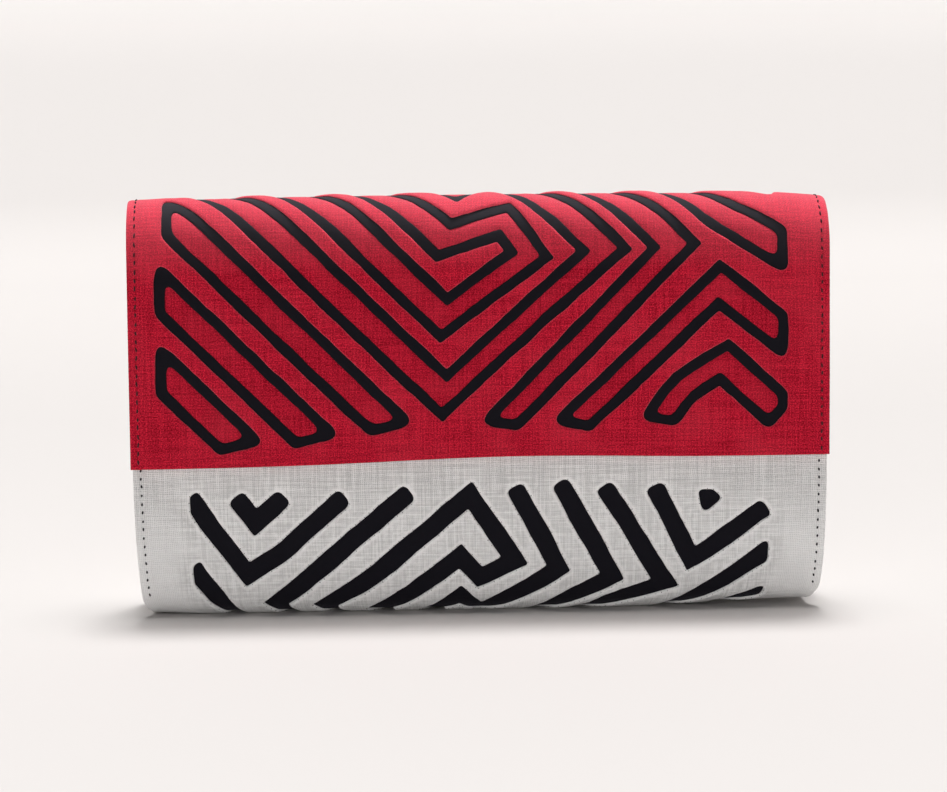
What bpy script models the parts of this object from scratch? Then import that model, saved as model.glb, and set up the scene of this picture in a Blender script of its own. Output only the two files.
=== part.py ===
"""A fold-over clutch bag sewn from two mola panels, standing on its base.

Metres, +Z up, the front of the bag faces -Y. The origin is on the floor, at the
middle of the flat base. Each cloth is cut as a flat grid and then folded into place.
"""

import math

import bmesh
import bpy
from mathutils import Vector

# Outer sizes of the bag
HEIGHT = 0.1685
FLAP_WIDTH = 0.280
BODY_WIDTH = 0.2785
BASE_WIDTH = 0.2715
SIDE_HALF_DEPTH = 0.0165
BASE_FLAT = 0.016

# Rounding of the cloth at the base and over the top
BASE_CORNER_HEIGHT = 0.019
TOP_ARCH_HEIGHT = 0.018
TOP_SAG = 0.0010
NEAR_CORNER_SAG = 0.0010
FAR_CORNER_SAG = 0.0022
CORNER_SHARPNESS = 8

# How far the lower corners stand off the floor, and where each lift starts
FAR_CORNER_LIFT = 0.0026
LIFT_START = 0.050
NEAR_CORNER_LIFT = 0.0010
NEAR_LIFT_START = 0.110

# Seen from the front the lower corners are rounded: how much narrower, and up to what height
BASE_CORNER_TRIM = 0.0030
BASE_CORNER_RISE = 0.0070

# Where the cloth edges lie
MOUTH_Z = 0.138
BACK_EDGE_Z = 0.141
TAIL_Z = 0.130
HEM_Z = 0.0612
HEM_CLIMB = 0.0022
HEM_RISE = 0.0023
HEM_RISE_X = 0.012
HEM_RISE_REACH = 0.066

# Cloth thicknesses and the gaps between neighbours
TOP_CLOTH = 0.0010
BASE_CLOTH = 0.0010
GUSSET_CLOTH = 0.0012
LAYER_GAP = 0.0003
FLAP_GAP = 0.0004
FLANGE = 0.0040
GUSSET_TUCK = 0.0055

# The bag is full behind the flap and again above its base, with a waist at the hem between.
# Each belly is deepest at mid-width, and keeps a share of its depth at the ends.
UPPER_BELLY = {"depth": 0.0045, "z": 0.098, "reach": 0.038, "at_ends": 0.25}
LOWER_BELLY = {"depth": 0.0050, "z": 0.022, "reach": 0.030, "at_ends": 0.45}

ACROSS_STEPS = 14
GUSSET_ACROSS_STEPS = 6

# How the two cloths run, from their front edge round to their back edge
BODY_RUN = (
    {"section": "front", "steps": 6},
    {"section": "front_corner", "steps": 7},
    {"section": "base", "steps": 2},
    {"section": "back_corner", "steps": 7},
    {"section": "back", "steps": 6},
)
FLAP_RUN = (
    {"section": "front", "steps": 5},
    {"section": "arch", "steps": 16},
    {"section": "back", "steps": 2},
)

COLOURS = {
    "red_linen": {"colour": (0.52, 0.018, 0.040), "roughness": 0.85},
    "natural_linen": {"colour": (0.72, 0.69, 0.65), "roughness": 0.90},
    "black_cotton": {"colour": (0.012, 0.011, 0.014), "roughness": 0.90},
}


def clear_scene():
    for old in list(bpy.data.objects):
        bpy.data.objects.remove(old)


def cloth_material(name):
    look = COLOURS[name]
    material = bpy.data.materials.new(name)
    material.use_nodes = True
    shader = material.node_tree.nodes["Principled BSDF"]
    shader.inputs["Base Color"].default_value = (*look["colour"], 1.0)
    shader.inputs["Roughness"].default_value = look["roughness"]
    shader.inputs["Metallic"].default_value = 0.0
    return material


def stations(run):
    """Every row of the cloth as its section and how far along that section it is."""
    rows = [(run[0]["section"], 0.0)]
    for part in run:
        for step in range(1, part["steps"] + 1):
            rows.append((part["section"], step / part["steps"]))
    return rows


def mix(first, last, share):
    return first + (last - first) * share


def body_half_width(z):
    """The body draws in a little towards its base, and its lower corners are rounded."""
    rise = min(1.0, max(0.0, z / HEM_Z))
    trim = BASE_CORNER_TRIM * max(0.0, 1.0 - z / BASE_CORNER_RISE) ** 2
    return mix(BASE_WIDTH, BODY_WIDTH, 1.0 - (1.0 - rise) ** 2) / 2 - trim


def smooth_step(share):
    share = min(1.0, max(0.0, share))
    return share * share * (3.0 - 2.0 * share)


def base_lift(x):
    """The far corner of the base stands off the floor, and the near one is a little rounded."""
    far = FAR_CORNER_LIFT * smooth_step((x - LIFT_START) / (BASE_WIDTH / 2 - LIFT_START))
    near = NEAR_CORNER_LIFT * smooth_step((-x - NEAR_LIFT_START) / (BASE_WIDTH / 2 - NEAR_LIFT_START))
    return far + near


def half_depth(x, z):
    """From the middle of the bag to the outer face of the body cloth."""
    across = max(0.0, 1.0 - (2.0 * x / FLAP_WIDTH) ** 2)
    depth = SIDE_HALF_DEPTH
    for belly in (UPPER_BELLY, LOWER_BELLY):
        up = math.exp(-(((z - belly["z"]) / belly["reach"]) ** 2))
        depth += belly["depth"] * up * mix(belly["at_ends"], 1.0, across)
    return depth


def body_point(section, share, x, outward):
    """(y, z) on the body cloth, moved outward from its outer face."""
    if section == "front":
        z = mix(MOUTH_Z, BASE_CORNER_HEIGHT, share)
        return -half_depth(x, z) - outward, z
    if section == "back":
        z = mix(BASE_CORNER_HEIGHT, BACK_EDGE_Z, share)
        return half_depth(x, z) + outward, z
    if section == "base":
        return mix(-BASE_FLAT / 2, BASE_FLAT / 2, share), base_lift(x) - outward
    side = -1.0 if section == "front_corner" else 1.0
    turn = share if section == "front_corner" else 1.0 - share
    angle = turn * math.pi / 2
    reach = half_depth(x, BASE_CORNER_HEIGHT) - BASE_FLAT / 2
    drop = BASE_CORNER_HEIGHT - base_lift(x)
    normal = Vector((math.cos(angle) / reach, math.sin(angle) / drop)).normalized()
    y = BASE_FLAT / 2 + reach * math.cos(angle) + outward * normal.x
    z = BASE_CORNER_HEIGHT - drop * math.sin(angle) - outward * normal.y
    return side * y, z


def flap_top_z(x):
    """The top of the arch sinks at the sides, and most at its far corner."""
    across = 2.0 * x / FLAP_WIDTH
    corner = FAR_CORNER_SAG if x > 0.0 else NEAR_CORNER_SAG
    return HEIGHT - TOP_SAG * across**2 - corner * abs(across) ** CORNER_SHARPNESS


def hem_z(x):
    """The hem climbs a little from the near side to the far side, and is drawn up past the middle."""
    rise = math.exp(-(((x - HEM_RISE_X) / HEM_RISE_REACH) ** 2))
    return HEM_Z + HEM_CLIMB * x / FLAP_WIDTH + HEM_RISE * rise


def flap_point(section, share, x, outward):
    """(y, z) on the flap, moved outward from its inner face."""
    layers = BASE_CLOTH + LAYER_GAP + TOP_CLOTH
    spring_z = flap_top_z(x) - layers - TOP_ARCH_HEIGHT
    if section == "front":
        z = mix(hem_z(x), spring_z, share)
        return -half_depth(x, z) - FLAP_GAP - outward, z
    if section == "back":
        z = mix(spring_z, TAIL_Z, share)
        return half_depth(x, z) + FLAP_GAP + outward, z
    angle = share * math.pi
    reach = half_depth(x, spring_z) + FLAP_GAP
    normal = Vector((-math.cos(angle) / reach, math.sin(angle) / TOP_ARCH_HEIGHT)).normalized()
    y = -reach * math.cos(angle) + outward * normal.x
    z = spring_z + TOP_ARCH_HEIGHT * math.sin(angle) + outward * normal.y
    return y, z


def face_outwards(bm, inside):
    """Turns the open sheet so that its faces look away from a point inside the bag."""
    bmesh.ops.recalc_face_normals(bm, faces=bm.faces)
    lean = sum((face.calc_center_median() - inside).dot(face.normal) for face in bm.faces)
    if lean < 0.0:
        bmesh.ops.reverse_faces(bm, faces=bm.faces)


def folded_cloth(name, run, point, half_width, outward, thickness, material):
    """A rectangle of cloth, folded by point() and outward from its reference face."""
    rows = stations(run)
    bm = bmesh.new()
    bmesh.ops.create_grid(bm, x_segments=ACROSS_STEPS, y_segments=len(rows) - 1, size=0.5)
    for vert in bm.verts:
        section, share = rows[round((vert.co.y + 0.5) * (len(rows) - 1))]
        across = 2.0 * vert.co.x
        _, z = point(section, share, 0.0, 0.0)
        x = across * half_width(z)
        y, z = point(section, share, x, outward)
        vert.co = (x, y, z)
    face_outwards(bm, Vector((0.0, 0.0, HEIGHT / 2)))
    mesh = bpy.data.meshes.new(name)
    bm.to_mesh(mesh)
    bm.free()
    return dressed(name, mesh, thickness, material)


def dressed(name, mesh, thickness, material):
    """The sheet becomes an object whose cloth is thickened on the side away from its face."""
    mesh.shade_smooth()
    cloth = bpy.data.objects.new(name, mesh)
    bpy.context.scene.collection.objects.link(cloth)
    cloth.data.materials.append(material)
    solid = cloth.modifiers.new("Cloth thickness", "SOLIDIFY")
    solid.thickness = thickness
    solid.offset = -1.0
    solid.use_even_offset = True
    return cloth


def gusset(name, side, material):
    """One end wall: a tucked sheet with a flange that lies inside the body cloth."""
    inward = TOP_CLOTH + LAYER_GAP + BASE_CLOTH + LAYER_GAP
    rim = []
    for section, share in stations(BODY_RUN[:2]):
        y, z = body_point(section, share, side * BODY_WIDTH / 2, -inward)
        middle_z = body_point(section, share, 0.0, 0.0)[1]
        rim.append({"y": y, "z": z, "x": side * body_half_width(middle_z)})
    bm = bmesh.new()
    rows, columns = len(rim) - 1, GUSSET_ACROSS_STEPS
    bmesh.ops.create_grid(bm, x_segments=columns, y_segments=rows, size=0.5)
    for vert in bm.verts:
        place = rim[round((0.5 - vert.co.y) * rows)]
        across = 2.0 * vert.co.x
        rise = min(1.0, (place["z"] - inward) / BASE_CORNER_HEIGHT)
        depth = GUSSET_TUCK * (1.0 - across**2) * rise
        x = place["x"] - side * (FLANGE + GUSSET_CLOTH + depth)
        vert.co = (x, across * -place["y"], place["z"])
    rim_edges = [
        edge
        for edge in bm.edges
        if edge.is_boundary and not all(vert.co.z > MOUTH_Z - 1e-6 for vert in edge.verts)
    ]
    grown = bmesh.ops.extrude_edge_only(bm, edges=rim_edges)["geom"]
    for vert in grown:
        if isinstance(vert, bmesh.types.BMVert):
            vert.co.x += side * (FLANGE + GUSSET_CLOTH)
    face_outwards(bm, Vector((-side * HEIGHT, 0.0, HEIGHT / 2)))
    bmesh.ops.reverse_faces(bm, faces=bm.faces)
    mesh = bpy.data.meshes.new(name)
    bm.to_mesh(mesh)
    bm.free()
    return dressed(name, mesh, GUSSET_CLOTH, material)


def flap_half_width(_):
    return FLAP_WIDTH / 2


def main():
    clear_scene()
    red = cloth_material("red_linen")
    natural = cloth_material("natural_linen")
    black = cloth_material("black_cotton")
    folded_cloth("body_mola", BODY_RUN, body_point, body_half_width, 0.0, TOP_CLOTH, natural)
    folded_cloth(
        "body_base", BODY_RUN, body_point, body_half_width,
        -TOP_CLOTH - LAYER_GAP, BASE_CLOTH, black,
    )
    folded_cloth(
        "flap_mola", FLAP_RUN, flap_point, flap_half_width,
        BASE_CLOTH + LAYER_GAP + TOP_CLOTH, TOP_CLOTH, red,
    )
    folded_cloth(
        "flap_base", FLAP_RUN, flap_point, flap_half_width, BASE_CLOTH, BASE_CLOTH, black,
    )
    gusset("gusset_left", -1.0, natural)
    gusset("gusset_right", 1.0, natural)


main()
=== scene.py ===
"""Looks of a fold-over clutch bag sewn from two mola panels, standing on its base.

The cloths are planned flat, in millimetres: u runs across the bag and v along the cloth,
which on the front is also the height above the floor. A fold then lays the plan round
the bag, in metres. The front of the bag faces -Y.
"""

import math
import random

import bmesh
import bpy
import numpy as np
from mathutils import Matrix, Vector, geometry, kdtree, noise


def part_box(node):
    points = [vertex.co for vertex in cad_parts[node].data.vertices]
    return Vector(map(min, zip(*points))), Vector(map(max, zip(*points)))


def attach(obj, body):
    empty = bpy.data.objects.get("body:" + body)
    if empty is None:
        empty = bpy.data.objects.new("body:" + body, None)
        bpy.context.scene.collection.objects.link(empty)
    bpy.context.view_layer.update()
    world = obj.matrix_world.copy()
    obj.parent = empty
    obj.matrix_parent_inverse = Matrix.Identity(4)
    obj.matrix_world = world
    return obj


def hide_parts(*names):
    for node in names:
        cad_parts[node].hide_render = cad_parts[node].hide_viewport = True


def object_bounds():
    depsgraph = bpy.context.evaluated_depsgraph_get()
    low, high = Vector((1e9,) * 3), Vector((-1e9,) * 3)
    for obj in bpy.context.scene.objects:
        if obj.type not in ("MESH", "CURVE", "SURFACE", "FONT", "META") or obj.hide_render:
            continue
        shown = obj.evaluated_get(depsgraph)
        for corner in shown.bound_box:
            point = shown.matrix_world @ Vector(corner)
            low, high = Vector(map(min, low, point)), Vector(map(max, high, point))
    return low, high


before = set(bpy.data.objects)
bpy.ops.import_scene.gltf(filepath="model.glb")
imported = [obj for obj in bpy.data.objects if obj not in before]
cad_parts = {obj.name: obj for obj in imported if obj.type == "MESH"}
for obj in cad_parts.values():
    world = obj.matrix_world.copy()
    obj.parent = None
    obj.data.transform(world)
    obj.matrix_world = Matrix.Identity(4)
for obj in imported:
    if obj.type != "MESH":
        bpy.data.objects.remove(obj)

CAD_LOW, CAD_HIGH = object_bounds()
MM = 0.001

# Sizes of the folded bag, as in the CAD model
HEIGHT = CAD_HIGH.z / MM
FLAP_WIDTH = (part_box("flap_mola")[1][0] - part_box("flap_mola")[0][0]) / MM
BODY_WIDTH = (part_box("body_mola")[1][0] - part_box("body_mola")[0][0]) / MM
BASE_WIDTH = 271.5
SIDE_HALF_DEPTH = 16.5
UPPER_BELLY = {"depth": 4.5, "z": 98.0, "reach": 38.0, "at_ends": 0.25}
LOWER_BELLY = {"depth": 5.0, "z": 22.0, "reach": 30.0, "at_ends": 0.45}
SOFT_HILLS = {"height": 0.55, "across": 52.0, "up": 40.0, "front_seed": 1.7, "back_seed": 7.3}
BASE_FLAT = 16.0
BASE_CORNER_HEIGHT = 19.0
TOP_ARCH_HEIGHT = 18.0
TOP_SAG = 1.0
NEAR_CORNER_SAG = 1.0
FAR_CORNER_SAG = 2.2
CORNER_SHARPNESS = 8
FAR_CORNER_LIFT = 2.6
LIFT_START = 50.0
NEAR_CORNER_LIFT = 1.0
NEAR_LIFT_START = 110.0
BASE_CORNER_TRIM = 3.0
BASE_CORNER_RISE = 7.0
MOUTH_Z = 138.0
BACK_EDGE_Z = 141.0
TAIL_Z = 130.0
HEM_Z = 61.2
HEM_CLIMB = 2.2
HEM_RISE = 2.3
HEM_RISE_X = 12.0
HEM_RISE_REACH = 66.0
FLAP_STACK = 2.3
FLAP_GAP = 0.4

# Heights of the cloths in the flap, above the flap's inner face
INLAY_UNDER, INLAY_EDGE, INLAY_CROWN = 0.10, 0.36, 1.36
BLACK_UNDER, BLACK_TOP = 0.68, 1.22
RED_UNDER, RED_LIP, RED_CROWN = 1.27, 0.68, 0.25
HEM_UNDER, HEM_TURN = 0.12, 1.6

# Heights of the cloths in the body, above the body's outer face
BODY_BLACK_UNDER, BODY_BLACK_TOP = -1.90, -1.15
LINEN_UNDER, LINEN_LIP, LINEN_CROWN = -1.10, 0.85, 0.35

# A turned edge starts this thick, rises quickly to its lip and slowly to its crown
LIP_START, BLACK_LIP_START, LEAST_CLOTH = 0.12, 0.08, 0.15
LIP_REACH, BLACK_LIP_REACH, CROWN_REACH = 0.26, 0.2, 1.9

# The outer edges are pressed down to a share of that rise, within this reach
PRESSED_SHARE, PRESSED_REACH = 0.42, 0.45

# Small unevenness of the cloths: its height, its length and the seed of its noise
RED_RIPPLE = (0.10, 7.0, 2.0)
INLAY_RIPPLE = (0.05, 5.0, 9.0)
LINEN_RIPPLE = (0.22, 7.0, 6.0)
CUT_WRINKLE, CUT_WRINKLE_REACH = (0.22, 2.6, 4.0), 4.0

# The stretch of the body's plan that lies on the floor
FLOOR_LOW, FLOOR_HIGH = -26.0, 2.0

# How far inside the top cloths the black ones end, at the sides and along their ends
FLAP_BLACK_SIDE, FLAP_BLACK_HEM, FLAP_BLACK_TAIL = 0.2, 1.9, 0.6
BODY_BLACK_SIDE, BODY_BLACK_END = 0.2, 0.4

# The inlay strips reach under the black cloth by the tuck, and swell up inside it
INLAY_TUCK = 1.6
INLAY_SWELL_START, INLAY_SWELL_REACH = 0.9, 3.4

# The end walls of the body, inside its two cloths
GUSSET_INWARD = 2.6
GUSSET_CLOTH = 1.2
GUSSET_FLANGE = 4.0
GUSSET_TUCK = 5.5
GUSSET_COLUMNS, GUSSET_STEPS = 20, 12

# Widths across the cut lines of the patterns, and how much wider or narrower an arm is
# where it falls or rises to the right. An arm shorter than SHORT_ARM counts as rising.
RED_SLOT = 15.5
INLAY_BAR = 7.1
OUTLINE = (RED_SLOT - INLAY_BAR) / 2
LINEN_SLOT = 7.5
RED_FALLING, RED_RISING = 1.1, -1.1
SHORT_ARM = 26.0

# Both patterns are laid out on a lattice, in quarter cells. The turns of each cut's middle
# line are counted from the valley of the panel's widest chevron. A small cut has its corners
# instead. The field's sides, its top row and its foot trim the cuts. The foot is a line that
# passes "at" a place of the lattice with a tilt, and a cut may have its own foot or side.
# "round" is the rounding of a cut where it is trimmed.
FLAP_LATTICE = {"cell_u": 8.0, "cell_v": 7.7, "valley_u": -14.8, "valley_v": 88.8, "lean": 0.0096}
FLAP_FIELD = {"left": -129.3, "right": 123.2, "top": 15.25}
FLAP_CUTS = (
    {
        "turns": ((-15.0, 10.75), (-0.75, -3.5)), "foot": {"at": (-2.5, -1.75), "tilt": 0.2},
        "left": -126.3, "round": 6.0,
    },
    {"turns": ((-17.0, 8.5), (-5.0, -3.5)), "foot": {"at": (-6.25, -2.25), "tilt": 0.2}},
    {"turns": ((-17.0, 4.5), (-8.0, -4.5)), "foot": {"at": (-10.0, -2.5), "tilt": 0.2}},
    {"turns": ((-17.0, 17.0), (0.0, 0.0), (4.75, 4.5), (8.0, 7.5), (0.0, 15.5))},
    {"turns": ((-12.5, 16.5), (0.0, 4.0), (4.25, 7.25), (3.0, 9.0), (0.0, 8.0), (-8.75, 16.5))},
    {"turns": ((-4.0, 16.0), (0.75, 11.5), (2.25, 13.0))},
    {
        "turns": ((1.25, -3.25), (11.5, 7.75), (3.25, 16.0)),
        "foot": {"at": (2.75, -1.75), "tilt": -0.2},
    },
    {
        "turns": ((5.0, -3.0), (13.75, 5.75), (18.5, 2.0)),
        "foot": {"at": (6.25, -1.75), "tilt": -0.2},
    },
    {
        "turns": ((9.75, -2.75), (12.0, 0.5), (14.0, 1.75), (17.0, -1.0)),
        "foot": {"at": (10.75, -1.5), "tilt": -0.2},
    },
    {"turns": ((19.0, 6.5), (13.75, 9.5), (8.0, 15.5))},
    {"turns": ((19.0, 10.0), (11.5, 16.5)), "right": 119.5},
)

BODY_LATTICE = {"cell_u": 8.0, "cell_v": 7.0, "valley_u": -91.2, "valley_v": 15.2, "lean": 0.0096}
BODY_FIELD = {"left": -117.0, "right": 116.5, "foot": {"at": (0.0, -4.0)}}
BODY_CUTS = (
    {"turns": ((-1.0, 4.75), (0.0, 3.25), (1.5, 4.75))},
    {"turns": ((-3.25, 4.75), (-2.25, 3.0), (-0.5, 0.25), (1.25, 1.5), (4.5, 4.75))},
    {"turns": ((-3.25, 0.75), (-3.0, 0.25), (-2.0, -1.5), (-1.0, -4.5))},
    {"turns": ((7.75, 5.0), (0.75, -1.75), (2.25, -4.5))},
    {
        "turns": (
            (7.5, -4.5), (6.0, -2.5), (8.25, -0.5), (10.25, 1.25), (11.25, 0.0),
            (13.0, 1.0), (10.75, 4.75), (6.0, 0.25), (3.25, -2.0), (4.75, -4.5),
        ),
    },
    {
        "turns": (
            (13.0, 5.25), (15.25, 0.5), (13.25, -1.0), (11.25, -2.5),
            (10.25, -1.25), (8.75, -2.75), (10.0, -4.5),
        ),
    },
    {"turns": ((15.25, 5.5), (18.0, 0.0), (15.75, -1.5), (12.5, -4.5))},
    {"turns": ((17.5, 5.25), (20.75, -0.5), (18.25, -1.5), (14.5, -4.5))},
    {"turns": ((20.0, 5.25), (22.0, 1.0), (22.75, 1.5), (25.75, 4.0))},
    {"corners": ((22.25, 5.0), (22.5, 3.5), (23.5, 4.5), (23.0, 5.0))},
    {"turns": ((26.5, 2.0), (24.5, 0.25), (22.5, -1.5), (19.0, -4.5))},
    {"turns": ((26.25, -1.25), (25.0, -2.0), (22.25, -4.0))},
)

# Rounding of the cuts: at their ends, at their turns and at their slight bends
RED_RADII = (4.2, 1.1, 30.0)
BAR_RADII = (3.6, 1.2, 30.0)
LINEN_RADII = (2.8, 1.0, 30.0)
SLIGHT_BEND = 0.85
ROUNDING_ROOM = 0.46
ARC_STEP = 18.0

# The hand's unevenness along the cuts: how far it strays, and over what length
WAVER, WAVER_LENGTH = 0.42, 11.0
TREMBLE, TREMBLE_LENGTH = 0.16, 3.2

# Steps of the meshes, on the flat cloth
CUT_STEP = 1.25
BORDER_STEP = 2.2
CUT_RINGS = (0.14, 0.34, 0.70, 1.30, 2.20)
BAR_RINGS = (0.16, 0.45, 1.00)
INLAY_RINGS = (0.7, 1.5, 2.3, 3.3)
PLAIN_RINGS = (2.0,)
FIELD_STEP = 3.4
FIELD_ROWS = 0.866
CLEAR_OF_EDGES, CLEAR_OF_RINGS = 0.8, 0.45
CLOSEST_POINTS = 0.12
DISTANCE_STEP = 0.2
FOLD_STEPS = 48

# Sewing: the length of a stitch and the radius of its thread. The threads are drawn in at
# both ends to a share of their girth. Hemming has a stitch at every fourth step, or none.
SEAM_INSET, SEAM_END = 3.2, 2.0
FLAP_SEAM_LOW, FLAP_SEAM_HIGH, TAIL_SEAM = 1.2, 1.0, 3.0
FRONT_SEAM_END, BACK_SEAM_START = 6.0, -30.0
STITCH_PITCH = 3.4
SEAM_DIP, SEAM_DIP_REACH = 0.30, 0.75
RED_STITCH, RED_THREAD = 1.8, 0.34
LINEN_STITCH, LINEN_THREAD = 1.15, 0.36
HEMMING_STEP, HEMMING_EVERY, HEMMING_SKIPPED = 0.9, 4, 0.35
HEMMING_THREAD, HEMMING_SINK = 0.13, 0.10
THREAD_SIDES, THREAD_TIP = 6, 0.45
THREAD_BOW = 0.55

# Weaves: the pitch of the threads, and how far they wander
RED_WEAVE = (0.62 * MM, 0.7)
LINEN_WEAVE = (0.74 * MM, 1.5)
COTTON_WEAVE = (0.45 * MM, 0.5)

# Colours in linear light
RED_BRIGHT = (0.86, 0.022, 0.060)
RED_DEEP = (0.24, 0.001, 0.010)
RED_GAP = (0.07, 0.001, 0.006)
# pale red: for random fading, and for painted highlights on turned edges
RED_FADED_AND_HIGHLIGHT = (0.80, 0.050, 0.085)
# painted highlight of the top light on the red along the top fold
RED_FOLD_HIGHLIGHT = (0.95, 0.130, 0.180)
NATURAL = (0.93, 0.92, 0.91)
NATURAL_GREY = (0.66, 0.652, 0.644)
NATURAL_LIGHT = (0.98, 0.97, 0.96)
NATURAL_GAP = (0.20, 0.19, 0.19)
DOUBLED = (0.99, 0.98, 0.97)
DOUBLED_GREY = (0.70, 0.69, 0.68)
DOUBLED_SHADE = (0.58, 0.57, 0.56)
DOUBLED_GAP = (0.30, 0.29, 0.29)
BLACK = (0.0095, 0.0088, 0.0125)
BLACK_LINT = (0.022, 0.020, 0.026)
# painted highlight of the top light on the black along the top fold
BLACK_FOLD_HIGHLIGHT = (0.060, 0.056, 0.064)
MAROON = (0.035, 0.004, 0.008)
THREAD_BLACK = (0.012, 0.011, 0.013)
FLOOR = (0.560, 0.536, 0.522)
FLOOR_FAR = (0.526, 0.503, 0.490)
SWEEP_GLOW = 0.93

# Where the materials change along the cloth, in metres of its plan: a painted highlight of the
# top light comes up to the top fold from the front and from the back, and the linen is lighter
# near the base with painted bounce light from the floor
HIGHLIGHT_FROM_FRONT = (0.138, 0.172)
HIGHLIGHT_FROM_BACK = (0.216, 0.184)
PAINTED_BOUNCE_NEAR_BASE = (0.054, 0.026)

# Lights, each with its turn in degrees, its strength and its spread in degrees
WORLD_STRENGTH = 0.10
SOFT_LIGHTS = (
    ("overhead_softbox", (-6.0, 2.5, 0.0), 2.32, 32.0),
    ("rear_softbox", (-14.0, 2.0, 0.0), 2.32, 14.0),
    ("front_card", (80.0, 0.0, -8.0), 0.99, 40.0),
)

# The camera, in metres and degrees
CAMERA_AIM = (-0.0022, 0.0, 0.0858)
CAMERA_DISTANCE = 1.25
CAMERA_ELEVATION = 6.0
CAMERA_AZIMUTH = -2.5
CAMERA_ROLL = -0.55
VIEW_WIDTH = 0.3840
SENSOR_WIDTH = 36.0


def mix(first, last, share):
    return first + (last - first) * share


def smooth_step(share):
    share = min(1.0, max(0.0, share))
    return share * share * (3.0 - 2.0 * share)


# The folded shape, with the same formulas as the CAD model, in millimetres


def body_half_width(z):
    rise = min(1.0, max(0.0, z / HEM_Z))
    trim = BASE_CORNER_TRIM * max(0.0, 1.0 - z / BASE_CORNER_RISE) ** 2
    return mix(BASE_WIDTH, BODY_WIDTH, 1.0 - (1.0 - rise) ** 2) / 2 - trim


def base_lift(x):
    half = BASE_WIDTH / 2
    far = FAR_CORNER_LIFT * smooth_step((x - LIFT_START) / (half - LIFT_START))
    near = NEAR_CORNER_LIFT * smooth_step((-x - NEAR_LIFT_START) / (half - NEAR_LIFT_START))
    return far + near


def softness(x, z, back):
    """The slight hills and hollows that every cloth of the bag shares."""
    seed = SOFT_HILLS["back_seed"] if back else SOFT_HILLS["front_seed"]
    place = Vector((x / SOFT_HILLS["across"], z / SOFT_HILLS["up"], seed))
    return SOFT_HILLS["height"] * noise.noise(place)


def half_depth(x, z, back=False):
    across = max(0.0, 1.0 - (2.0 * x / FLAP_WIDTH) ** 2)
    depth = SIDE_HALF_DEPTH + softness(x, z, back)
    for belly in (UPPER_BELLY, LOWER_BELLY):
        up = math.exp(-(((z - belly["z"]) / belly["reach"]) ** 2))
        depth += belly["depth"] * up * mix(belly["at_ends"], 1.0, across)
    return depth


def body_point(section, share, x, outward):
    """Y and Z of the body's cloth at a share of one section of its fold."""
    if section == "front":
        z = mix(MOUTH_Z, BASE_CORNER_HEIGHT, share)
        return -half_depth(x, z) - outward, z
    if section == "back":
        z = mix(BASE_CORNER_HEIGHT, BACK_EDGE_Z, share)
        return half_depth(x, z, True) + outward, z
    if section == "base":
        return mix(-BASE_FLAT / 2, BASE_FLAT / 2, share), base_lift(x) - outward
    back = section == "back_corner"
    turn = 1.0 - share if back else share
    angle = turn * math.pi / 2
    reach = half_depth(x, BASE_CORNER_HEIGHT, back) - BASE_FLAT / 2
    drop = BASE_CORNER_HEIGHT - base_lift(x)
    normal = Vector((math.cos(angle) / reach, math.sin(angle) / drop)).normalized()
    y = BASE_FLAT / 2 + reach * math.cos(angle) + outward * normal.x
    z = BASE_CORNER_HEIGHT - drop * math.sin(angle) - outward * normal.y
    return (y if back else -y), z


def flap_top_z(x):
    across = 2.0 * x / FLAP_WIDTH
    corner = FAR_CORNER_SAG if x > 0.0 else NEAR_CORNER_SAG
    return HEIGHT - TOP_SAG * across**2 - corner * abs(across) ** CORNER_SHARPNESS


def hem_z(x):
    rise = math.exp(-(((x - HEM_RISE_X) / HEM_RISE_REACH) ** 2))
    return HEM_Z + HEM_CLIMB * x / FLAP_WIDTH + HEM_RISE * rise


def flap_point(section, share, x, outward):
    """Y and Z of the flap's cloth at a share of one section of its fold."""
    spring_z = flap_top_z(x) - FLAP_STACK - TOP_ARCH_HEIGHT
    if section == "front":
        z = mix(hem_z(x), spring_z, share)
        return -half_depth(x, z) - FLAP_GAP - outward, z
    if section == "back":
        z = mix(spring_z, TAIL_Z, share)
        return half_depth(x, z, True) + FLAP_GAP + outward, z
    angle = share * math.pi
    front, back = half_depth(x, spring_z), half_depth(x, spring_z, True)
    reach = mix(front, back, smooth_step(share)) + FLAP_GAP
    normal = Vector((-math.cos(angle) / reach, math.sin(angle) / TOP_ARCH_HEIGHT)).normalized()
    y = -reach * math.cos(angle) + outward * normal.x
    z = spring_z + TOP_ARCH_HEIGHT * math.sin(angle) + outward * normal.y
    return y, z


class Fold:
    """Lays a flat plan round the bag. v is counted along the cloth, from its front edge."""

    def __init__(self, sections, point, first_v, way, width_at):
        self.sections, self.point = sections, point
        self.first_v, self.way, self.width_at = first_v, way, width_at
        self.lengths, self.marks = [0.0], [0.0]
        last = Vector(point(sections[0], 0.0, 0.0, 0.0))
        for index, section in enumerate(sections):
            for step in range(1, FOLD_STEPS + 1):
                here = Vector(point(section, step / FOLD_STEPS, 0.0, 0.0))
                self.lengths.append(self.lengths[-1] + (here - last).length)
                self.marks.append(index + step / FOLD_STEPS)
                last = here
        self.last_v = first_v + way * self.lengths[-1]

    def at(self, u, v, outward):
        """The place in metres of a point of the plan, at a height above the cloth's face."""
        mark = float(np.interp(self.way * (v - self.first_v), self.lengths, self.marks))
        index = min(int(mark), len(self.sections) - 1)
        section, share = self.sections[index], mark - index
        z = self.point(section, share, 0.0, 0.0)[1]
        x = u * self.width_at(z)
        y, z = self.point(section, share, x, outward)
        return (x * MM, y * MM, z * MM)


FLAP = Fold(("front", "arch", "back"), flap_point, hem_z(0.0), 1, lambda z: 1.0)
BODY = Fold(
    ("front", "front_corner", "base", "back_corner", "back"),
    body_point,
    MOUTH_Z,
    -1,
    lambda z: body_half_width(z) / (BODY_WIDTH / 2),
)


# Cut lines on the flat cloth. A corner is (u, v, radius of its rounding).


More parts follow.
